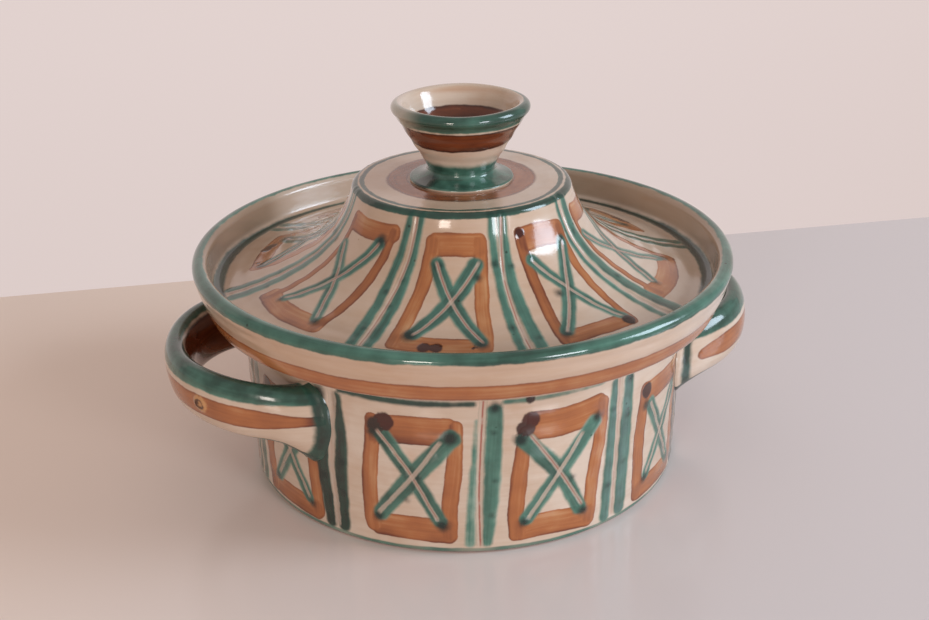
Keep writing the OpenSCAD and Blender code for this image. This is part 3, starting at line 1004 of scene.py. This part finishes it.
    def lay_panels(self, ground):
        """The painted panels that a piece stores: rust, green, drops and scratches, in that
        order. Returns the colour, a height in mm and a roughness to add."""
        cover, load, _ = self.field("rust")
        colour, rust = self.lay_rust(ground, cover, load, self.streaks("rust_brush", 0.16))
        cover, load, _ = self.field("green")
        colour, green = self.lay_green(colour, cover, load, self.streaks("green_brush", 0.16))
        cover, red, _ = self.field("drops")
        pool = self.ease(cover + self.shake(3.2, 0.8), self.ease(red, 0.0, 0.6, -1.8, -0.4),
                         self.ease(red, 0.0, 0.6, 2.2, 0.7))
        pooled = self.mix(red, GREEN_POOL, BLOB_RED)
        colour = self.mix(pool * 0.96, colour, pooled)
        height = rust * 0.05 + green * 0.06 + pool * 0.1
        rough = 0.0
        for k in range(2):
            side, near, half = self.field(f"scratch_{k}")
            redness, past, _ = self.field(f"scratch_{k}_end")
            width = half * (0.9 + self.shake(3.2, 0.34, 3))
            away = abs(side)
            on_line = self.math("LESS_THAN", near, 4.0) * self.ease(past, -0.5, 2.2, 1.0, 0.0)
            open_line = self.ease(away - width, -0.5, 0.5, 1.0, 0.0) * on_line
            lip = self.ease(abs(away - (width + 0.5)), 0.0, 0.6, 1.0, 0.0)
            core_line = abs(side + self.shake(9, 0.35))
            core = self.ease(core_line - half * 0.3, -0.25, 0.3, 1.0, 0.0)
            core = core * on_line * redness * self.ease(self.noise(8, 2), 0.25, 0.45)
            pale = self.mix(self.noise(2.2, 3), SCRATCH_PALE, CREAM_WARM)
            colour = self.mix(lip * on_line * 0.2, colour, GREEN_THICK)
            colour = self.mix(open_line * 0.84, colour, pale)
            colour = self.mix(core, colour, SCRATCH_RED)
            height = height - open_line * 0.12
            rough = rough + open_line * 0.16
        return colour, height, rough

    def finish(self, colour, height=0.0, rough=0.0, bare=None):
        """The glossy skin: lumpy as brushed glaze is, with pinholes, and matt where clay is bare."""
        lumps = self.shake(9, 0.11, 2) + self.shake(2.6, 0.02, 2)
        pinholes = self.specks(13, 0.3, 0.35, 0.25) * -0.1
        height = height + lumps + pinholes
        rough = rough + self.ease(self.noise(14, 3), 0.3, 0.75, 0.1, 0.2)
        if bare is not None:
            clay = self.mix(self.noise(1.3, 4), BARE_CLAY, CLAY_DARK)
            colour = self.mix(bare, colour, clay)
            rough = self.ease(bare, 0.0, 1.0, rough, 0.8)
            height = height + self.shake(0.8, 0.08, 4) * bare
        bump = self.node("Bump", {"Strength": 0.55, "Distance": MM, "Height": height})
        skin = self.node("BsdfPrincipled", {
            "IOR": 1.52, "Coat Weight": 0.35, "Coat Roughness": 0.05, "Base Color": colour,
            "Roughness": rough, "Normal": self.output(bump, 0)})
        self.node("OutputMaterial", {"Surface": self.output(skin, 0)})
        return self.material

    def turn(self):
        """Degrees round the pot from its show side, from -180 to 180, positive to the right."""
        start = math.radians(SHOW_SIDE)
        ahead = self.x * math.cos(start) + self.y * math.sin(start)
        aside = self.y * math.cos(start) - self.x * math.sin(start)
        return self.math("ARCTAN2", aside, ahead) * (180 / math.pi)


def pot_glaze():
    """Painted wall with a thin green line at the foot, plain glaze inside, bare foot ring."""
    g = Glaze("pot_glaze_painted")
    colour, height, rough = g.lay_panels(g.cream())
    edge = 3.1 + g.shake(11, 0.7)
    outside = g.ease(g.r, foot_r - 1.6, foot_r - 0.8)
    line_cover = edge - g.z
    on_foot = g.ease(g.z, 0.3, 0.7) * outside
    base_line = g.ease(line_cover, -0.35, 0.5) * on_foot * g.ease(g.noise(24, 2), 0.3, 0.6, 0.65, 0.95)
    colour = g.mix(base_line, colour, g.green_tone(0.5 + g.shake(8, 0.2)))
    foot_in_r = foot_r - foot_ring_w
    bare = g.ease(g.z, 0.12, 0.5, 1.0, 0.0) * g.ease(g.r, foot_in_r - 1, foot_in_r)
    return g.finish(colour, height, rough, bare)


def lid_glaze():
    """Painted dome; on the flat top a rust ring, a thin green line and a green shoulder band; a
    green line in the gutter, a washed inner wall, a green lip and a rust band round the skirt.
    The cream is painted darker and warmer on the left as painted shade, and a stretch of the wall at the
    back left is painted pale as painted window light, with less wash there."""
    g = Glaze("lid_glaze_painted")
    # Painted shade: the cream is mixed darker and warmer from the back left round to the front, fading out
    # towards the right
    painted_shade_left = g.ease(g.turn(), 5, 70, 0.42, 0.0) * g.ease(g.turn(), -180, -150, 0.0, 1.0)
    ground = g.mix(painted_shade_left, g.cream(), CREAM_THIN_AND_SHADED)
    colour, height, rough = g.lay_panels(ground)
    streaks = g.shake(1, 0.16, 3, g.join(g.r * 0.5, g.z * 0.5, g.turn() * 0.04))
    face_up = g.ease(g.z, skirt_z + 6, skirt_z + 8)
    top = g.ease(g.z, top_z - 4.5, top_z - 3.5)
    low = g.ease(g.z, top_z - 20, top_z - 14, 1.0, 0.0)

    def ring(ground, middle, half, load, where, rust=False, sway=1.0, soft=0.4):
        """A painted ring: its middle and half width in mm, and where on the lid it may show."""
        centre = middle + g.shake(31, sway)
        cover = g.only(half - abs(g.r - centre), where)
        lay = g.lay_rust if rust else g.lay_green
        return lay(ground, cover, load, streaks, soft)[0]

    ring_load = 0.62 + g.shake(16, 0.26, 4)
    colour = ring(colour, middle=30.2, half=5.3, load=ring_load, where=top, rust=True, sway=1.6,
                  soft=0.9)
    colour = ring(colour, middle=47.4, half=1.15, load=0.72, where=top, sway=0.9)
    shoulder = g.least(g.r - (top_r - 2.9 + g.shake(30, 0.5)), g.z - (top_z - 2.5 + g.shake(14, 0.7)))
    colour = g.lay_green(colour, shoulder, 0.72 + g.shake(26, 0.16), streaks, 0.4)[0]
    in_gutter = low * face_up
    gutter_half = g.ease(abs(g.turn()), 95, 150, 2.9, 1.5)
    colour = ring(colour, middle=gutter_r - 0.2, half=gutter_half, load=0.74 + g.shake(30, 0.2),
                  where=in_gutter, soft=0.9)
    inner = g.ease(g.r, gutter_r + 1.4, gutter_r + 2.6) * g.ease(g.z, gutter_z + 1.0, gutter_z + 2.6)
    inner = inner * g.ease(g.r, lid_r - 5.6, lid_r - 4.6, 1.0, 0.0)
    # Painted window light: a stretch of the inner wall at the back left is painted pale, and the brown
    # wash there is made thinner
    painted_window_light = g.band(g.turn(), -176, -126, 5)
    wash = inner * (0.78 + g.shake(40, 0.2) - painted_window_light * 0.7)
    colour = g.mix(wash, colour, GUTTER_WASH)
    colour = g.mix(inner * painted_window_light * 0.7, colour, CREAM_PALE)
    lip_cover = g.z - (crest_z - 4.6 + g.shake(22, 1.0))
    inner_edge = g.r - (lid_r - 5.4 + g.shake(18, 0.35))
    lip_cover = g.least(lip_cover, inner_edge)
    lip_load = 0.44 + g.shake(30, 0.3, 3) + g.ease(g.z, crest_z - 5, crest_z - 2, 0.2, 0.0)
    colour = g.lay_green(colour, lip_cover, lip_load, streaks, 0.55)[0]
    outer = g.ease(g.r, skirt_r - 1.5, skirt_r - 0.8)
    band = 8.6 + g.shake(26, 0.7) - (g.z - skirt_z)
    band = g.only(g.least(band, g.z - (skirt_z + 0.7)), outer)
    colour = g.lay_rust(colour, band, 0.4 + g.shake(34, 0.14), streaks, 0.5)[0]
    return g.finish(colour, height, rough)


# A dark blotch at the left of the knob's foot, towards the front
BLOT_AT = (-20.4, -7.8, top_z + 2.4)


def knob_glaze():
    """Bands round the knob: green lip, a pale line, dark rust with a dipping lower edge, cream,
    and green that runs down from the waist over the foot; rust inside the cup."""
    g = Glaze("knob_glaze_banded")
    streaks = g.shake(1, 0.14, 3, g.join(g.z * 0.6, g.r * 0.6, g.turn() * 0.03))
    turn = g.turn()
    rad = turn * (math.pi / 180)
    cup_r = (g.z - (top_z + cup_h)) * 0.66 + 13.4
    inside = g.ease(cup_r - g.r, 0.4, 1.2) * g.ease(g.z, top_z + cup_h - 1, top_z + cup_h - 0.5)
    outside = 1.0 - inside
    colour = g.cream()
    dip = g.math("COSINE", rad + 0.15) * -1.7
    low_edge = top_z + 20.6 + dip + g.shake(9, 0.7)
    cover = g.only(g.least(g.z - low_edge, knob_top - 8.9 - g.z), outside)
    load = 0.78 + g.ease(g.z - low_edge, 0.2, 3.4, 0.16, 0.0)
    colour = g.lay_rust(colour, cover, load, streaks, 0.4)[0]
    green_low = top_z + 10.6 + g.shake(11, 1.0) - g.z
    green_low = g.only(g.least(green_low, (g.z - (top_z + 0.9)) * 5.0), outside)
    colour = g.lay_green(colour, green_low, 0.5 + g.shake(7, 0.22), streaks, 1.7)[0]
    lip = g.least(g.z - (knob_top - 8.2), (g.r - (knob_r - 3.3)) * 2.5)
    fade = g.ease(g.noise(34, 1), 0.3, 0.5, -0.2, 0.0)
    left_wear = g.ease(turn, -86, -52, -0.5, 0.0)
    right_side = g.ease(turn, 100, 140, 0.0, -0.4)
    lip_load = 0.6 + fade + left_wear + right_side
    worn = g.ease(abs(turn - 20), 78, 150, 0.0, 2.2)
    colour = g.lay_green(colour, lip - worn, lip_load, streaks, 0.5)[0]
    blot = g.vector("SUBTRACT", g.mm, BLOT_AT)
    blot_cover = 6.6 + g.shake(3, 1.6) - g.vector("LENGTH", blot)
    colour = g.mix(g.ease(blot_cover, -1.6, 2.4) * 0.85, colour, GREEN_POOL)
    deep = g.only(knob_top - 10.6 - g.z, inside)
    colour = g.lay_rust(colour, deep, 0.72, streaks, 0.4)[0]
    back_band = g.band(g.z, knob_top - 5.6, knob_top - 2.0, 0.8) * inside
    back_band = back_band * g.ease(abs(turn), 95, 130)
    colour = g.mix(back_band * 0.9, colour, RUST)
    # Painted shade: the inside of the cup is painted a darker tan over the right and the back
    painted_shade_far_side = g.ease(turn, 10, 100, 0.0, 0.8) + g.ease(turn, -180, -130, 0.8, 0.0)
    above_deep = g.ease(g.z, knob_top - 11, knob_top - 10)
    colour = g.mix(inside * painted_shade_far_side * above_deep, colour, CREAM_THIN_AND_SHADED)
    # Painted light: a pale band over the left of the cup's top, inside and on the lip
    painted_light_left = g.band(turn, -122, -44, 14) * g.ease(g.z, knob_top - 8.4, knob_top - 7.6)
    colour = g.mix(painted_light_left * 0.6, colour, CREAM_PALE)
    return g.finish(colour)


# How far from the wall the rust band stops, and where a divider's green runs over the roots
RUST_STOP = {"handle_glaze_left": 0.0, "handle_glaze_right": 9.0}
ROOT_BAND = {"handle_glaze_left": (-6.0, 4.4), "handle_glaze_right": (1.8, 5.8)}


def handle_glaze(name, seed):
    """Green over the strap's top and the upper part of its outer face, a cream line, a rust band,
    cream below, and a green line along the lower edge; the inner face is dark rust."""
    g = Glaze(name)
    drop, outward, clear = g.field("strap")
    run, up_from_low, blister = g.field("strap_run")
    where = g.vector("ADD", g.mm, (seed, 0, 0))
    sway = g.shake(26, 0.7, 2, where)
    streaks = g.shake(1, 0.16, 3, g.join(drop * 0.55, run * 0.03, seed))
    outer = g.ease(outward, -0.2, 0.15)
    colour = g.cream()
    half = 5.5 - g.ease(clear, 4, 26, 3.0, 0.0)
    past_end = g.math("MAXIMUM", half + RUST_STOP[name] - clear, 0.0)
    off_middle = sway + 15.4 - drop
    rust_cover = g.only(half - g.vector("LENGTH", g.join(past_end, off_middle, 0)), outer)
    rust_load = 0.46 + g.ease(clear, 4, 9, 0.3, 0.0)
    colour = g.lay_rust(colour, rust_cover, rust_load, streaks, 0.4)[0]
    inner_cover = g.only(drop - 3.5, 1.0 - outer)
    colour = g.lay_rust(colour, inner_cover, 0.84, streaks, 0.9)[0]
    outer_edge = 7.4 + sway + g.shake(9, 0.5)
    inner_edge = 2.6
    green_cover = (outer_edge - drop) * outer + (inner_edge - drop) * (1.0 - outer)
    green_cover = g.least(green_cover, clear - 2.2)
    green_load = 0.52 + g.shake(18, 0.2, 3) + g.ease(clear, 4, 34, 0.14, 0.0)
    colour = g.lay_green(colour, green_cover, green_load, streaks, 0.6)[0]
    lower = g.ease(clear, 2, 30, 3.4, 1.0) + g.shake(12, 0.4)
    line_cover = g.only(lower - up_from_low, g.ease(outward, -0.6, -0.2))
    colour = g.lay_green(colour, line_cover, g.ease(clear, 0, 30, 0.86, 0.5), streaks, 0.5)[0]
    blistered = g.ease(blister + g.shake(2, 0.9), 3.6, 5.0, 1.0, 0.0)
    pit = g.band(blister + g.shake(1.5, 0.8), 1.5, 2.7, 0.5)
    colour = g.mix(blistered * 0.75, colour, RUST_THIN)
    colour = g.mix(pit * 0.9, colour, RUST_POOL)
    near, far = ROOT_BAND[name]
    root_place = clear + g.shake(9, 1.2)
    root_cover = g.only(g.least(far - root_place, root_place - near), outer)
    colour = g.lay_green(colour, root_cover, 0.74 + g.shake(12, 0.2), g.shake(5, 0.12), 1.1)[0]
    return g.finish(colour)


def plain_glaze():
    """The cream glaze on its own, for the ring under the lid."""
    g = Glaze("ring_glaze_plain")
    return g.finish(g.cream())


# ---------------------------------------------------------------- the table, light and camera

# The way the viewer faces, in degrees from +Y, and the camera's place and turns
VIEW_AZIMUTH = -17.0
CAMERA_AT = (-0.1733, -0.5668, 0.3366)
CAMERA_DOWN, CAMERA_YAW, CAMERA_ROLL = 24.06, 0.06, -0.75
LENS = 50.4

# The table's two colours, a tan that is painted warm light on the viewer's left and a pale grey that is
# painted cool light on the right, and the metres to the viewer's right between which one turns to the
# other
TABLE_TAN_WARM_LIGHT, TABLE_GREY_COOL_LIGHT = tint("F8DECC"), tint("E0D5D3")
TABLE_TURNS = (-0.3, 0.2)
# The table's far edge: metres beyond the pot's middle, and degrees off square to the view
EDGE_AWAY, EDGE_SKEW = 0.252, 11.1
# The table lies this much below the foot, so that the two faces never share a plane
TABLE_DROP = 0.0002
BACKDROP_GLOW = (0.49, 0.4, 0.38, 1)


def from_viewer(right, ahead, up):
    """A place given as the viewer sees it: to the right, beyond the pot, and up, in metres."""
    a = math.radians(VIEW_AZIMUTH)
    x = right * math.cos(a) - ahead * math.sin(a)
    y = right * math.sin(a) + ahead * math.cos(a)
    return Vector((x, y, up))


def panel(name, centre, across, up, material):
    """A flat four-cornered sheet: centre plus and minus half of each edge, for the stage."""
    c, a, b = (np.array(v, float) for v in (centre, across, up))
    corners = np.array([c - a - b, c + a - b, c + a + b, c - a + b])
    mesh = bpy.data.meshes.new(name)
    mesh.from_pydata(corners.tolist(), [], [(0, 1, 2, 3)])
    sheet = bpy.data.objects.new(name, mesh)
    bpy.context.scene.collection.objects.link(sheet)
    mesh.materials.append(material)


def stage_material(name, colour, rough, specular):
    """One even colour with a given roughness and strength of reflection."""
    material = bpy.data.materials.new(name)
    material.use_nodes = True
    skin = material.node_tree.nodes["Principled BSDF"]
    skin.inputs["Base Color"].default_value = colour
    skin.inputs["Roughness"].default_value = rough
    skin.inputs["Specular IOR Level"].default_value = specular
    return material


def table_material():
    """A sheen over a tan that turns to pale grey from the viewer's left to the right: painted warm light
    on the left and painted cool light on the right.
    """
    material = stage_material("table_sheen", TABLE_TAN_WARM_LIGHT, 0.2, 0.42)
    nodes, links = material.node_tree.nodes, material.node_tree.links
    place = nodes.new("ShaderNodeTexCoord")
    along = nodes.new("ShaderNodeVectorMath")
    along.operation = "DOT_PRODUCT"
    links.new(place.outputs["Object"], along.inputs[0])
    along.inputs[1].default_value = from_viewer(1, -0.35, 0)
    ramp = nodes.new("ShaderNodeMapRange")
    ramp.interpolation_type = "SMOOTHSTEP"
    ramp.inputs["From Min"].default_value, ramp.inputs["From Max"].default_value = TABLE_TURNS
    links.new(along.outputs["Value"], ramp.inputs["Value"])
    blend = nodes.new("ShaderNodeMix")
    blend.data_type = "RGBA"
    colours = [socket for socket in blend.inputs if socket.type == "RGBA"]
    colours[0].default_value, colours[1].default_value = TABLE_TAN_WARM_LIGHT, TABLE_GREY_COOL_LIGHT
    links.new(ramp.outputs["Result"], blend.inputs["Factor"])
    result = [socket for socket in blend.outputs if socket.type == "RGBA"][0]
    links.new(result, nodes["Principled BSDF"].inputs["Base Color"])
    return material


def lamp(name, place, target, width, height, power, colour):
    """A rectangular lamp at a place, facing a target."""
    light = bpy.data.lights.new(name, "AREA")
    light.shape, light.size, light.size_y = "RECTANGLE", width, height
    light.energy, light.color = power, colour
    thing = bpy.data.objects.new(name, light)
    bpy.context.scene.collection.objects.link(thing)
    thing.location = place
    thing.rotation_euler = (Vector(target) - place).to_track_quat("-Z", "Y").to_euler()


def set_camera():
    """A camera a third of a metre above the table, looking down at the pot's show side."""
    p, w, k = (math.radians(v) for v in (CAMERA_DOWN, CAMERA_YAW - VIEW_AZIMUTH, CAMERA_ROLL))
    ahead = Vector((math.sin(w) * math.cos(p), math.cos(w) * math.cos(p), -math.sin(p)))
    right = Vector((math.cos(w), -math.sin(w), 0))
    up = right.cross(ahead)
    x = math.cos(k) * right + math.sin(k) * up
    y = -math.sin(k) * right + math.cos(k) * up
    lens = bpy.data.cameras.new("viewer")
    lens.lens, lens.sensor_width = LENS, 36
    camera = bpy.data.objects.new("viewer", lens)
    bpy.context.scene.collection.objects.link(camera)
    turn = Matrix((x, y, -ahead)).transposed().to_4x4()
    camera.matrix_world = Matrix.Translation(CAMERA_AT) @ turn
    bpy.context.scene.camera = camera


def set_stage():
    """A pale table with a soft sheen that ends behind the pot, and a pale wall far beyond it."""
    table = table_material()
    backdrop = stage_material("backdrop_matt", tint("BCB6B4"), 0.9, 0.1)
    glow = backdrop.node_tree.nodes["Principled BSDF"].inputs
    glow["Emission Color"].default_value = BACKDROP_GLOW
    glow["Emission Strength"].default_value = 1
    across, away = from_viewer(1, 0, 0), from_viewer(0, 1, 0)
    skew = math.radians(EDGE_SKEW)
    along_edge = across * math.cos(skew) + away * math.sin(skew)
    outwards = away * math.cos(skew) - across * math.sin(skew)
    edge = away * EDGE_AWAY - Vector((0, 0, TABLE_DROP))
    panel("table", edge - outwards * 1.5, along_edge * 3, outwards * 1.5, table)
    panel("backdrop", edge + outwards * 3, along_edge * 6, (0, 0, 3.5), backdrop)


def set_light():
    """Two cool windows on the viewer's right, a warm one behind them to the left, and a pale sky."""
    lamp("window", from_viewer(1.2, -1.5, 0.62), (0, 0, 0.1), 0.5, 0.55, 11.5, (0.89, 0.93, 1.0))
    lamp("far_window", from_viewer(-0.55, -1.8, 0.5), (0, 0, 0.1), 0.35, 0.45, 7, (1.0, 0.89, 0.8))
    lamp("side_window", from_viewer(2.5, -0.25, 1.35), (0, 0, 0.08), 1.0, 1.3, 42, (0.72, 0.86, 1.0))
    world = bpy.data.worlds.new("sky")
    bpy.context.scene.world = world
    world.use_nodes = True
    sky = world.node_tree.nodes["Background"]
    sky.inputs["Color"].default_value = (1.0, 0.95, 0.93, 1)
    sky.inputs["Strength"].default_value = 0.4
    bpy.context.scene.view_settings.view_transform = "Standard"


# ---------------------------------------------------------------- put together

for maker, glaze in ((make_pot, pot_glaze), (make_lid, lid_glaze), (make_locating_ring, plain_glaze),
                     (make_knob, knob_glaze)):
    maker().data.materials.append(glaze())
for hand, side, seed in (("right", 1, 40), ("left", -1, 90)):
    strap = make_handle(f"handle_strap_{hand}", f"handle_{hand}", side)
    strap.data.materials.append(handle_glaze(f"handle_glaze_{hand}", seed))
set_stage()
set_light()
set_camera()
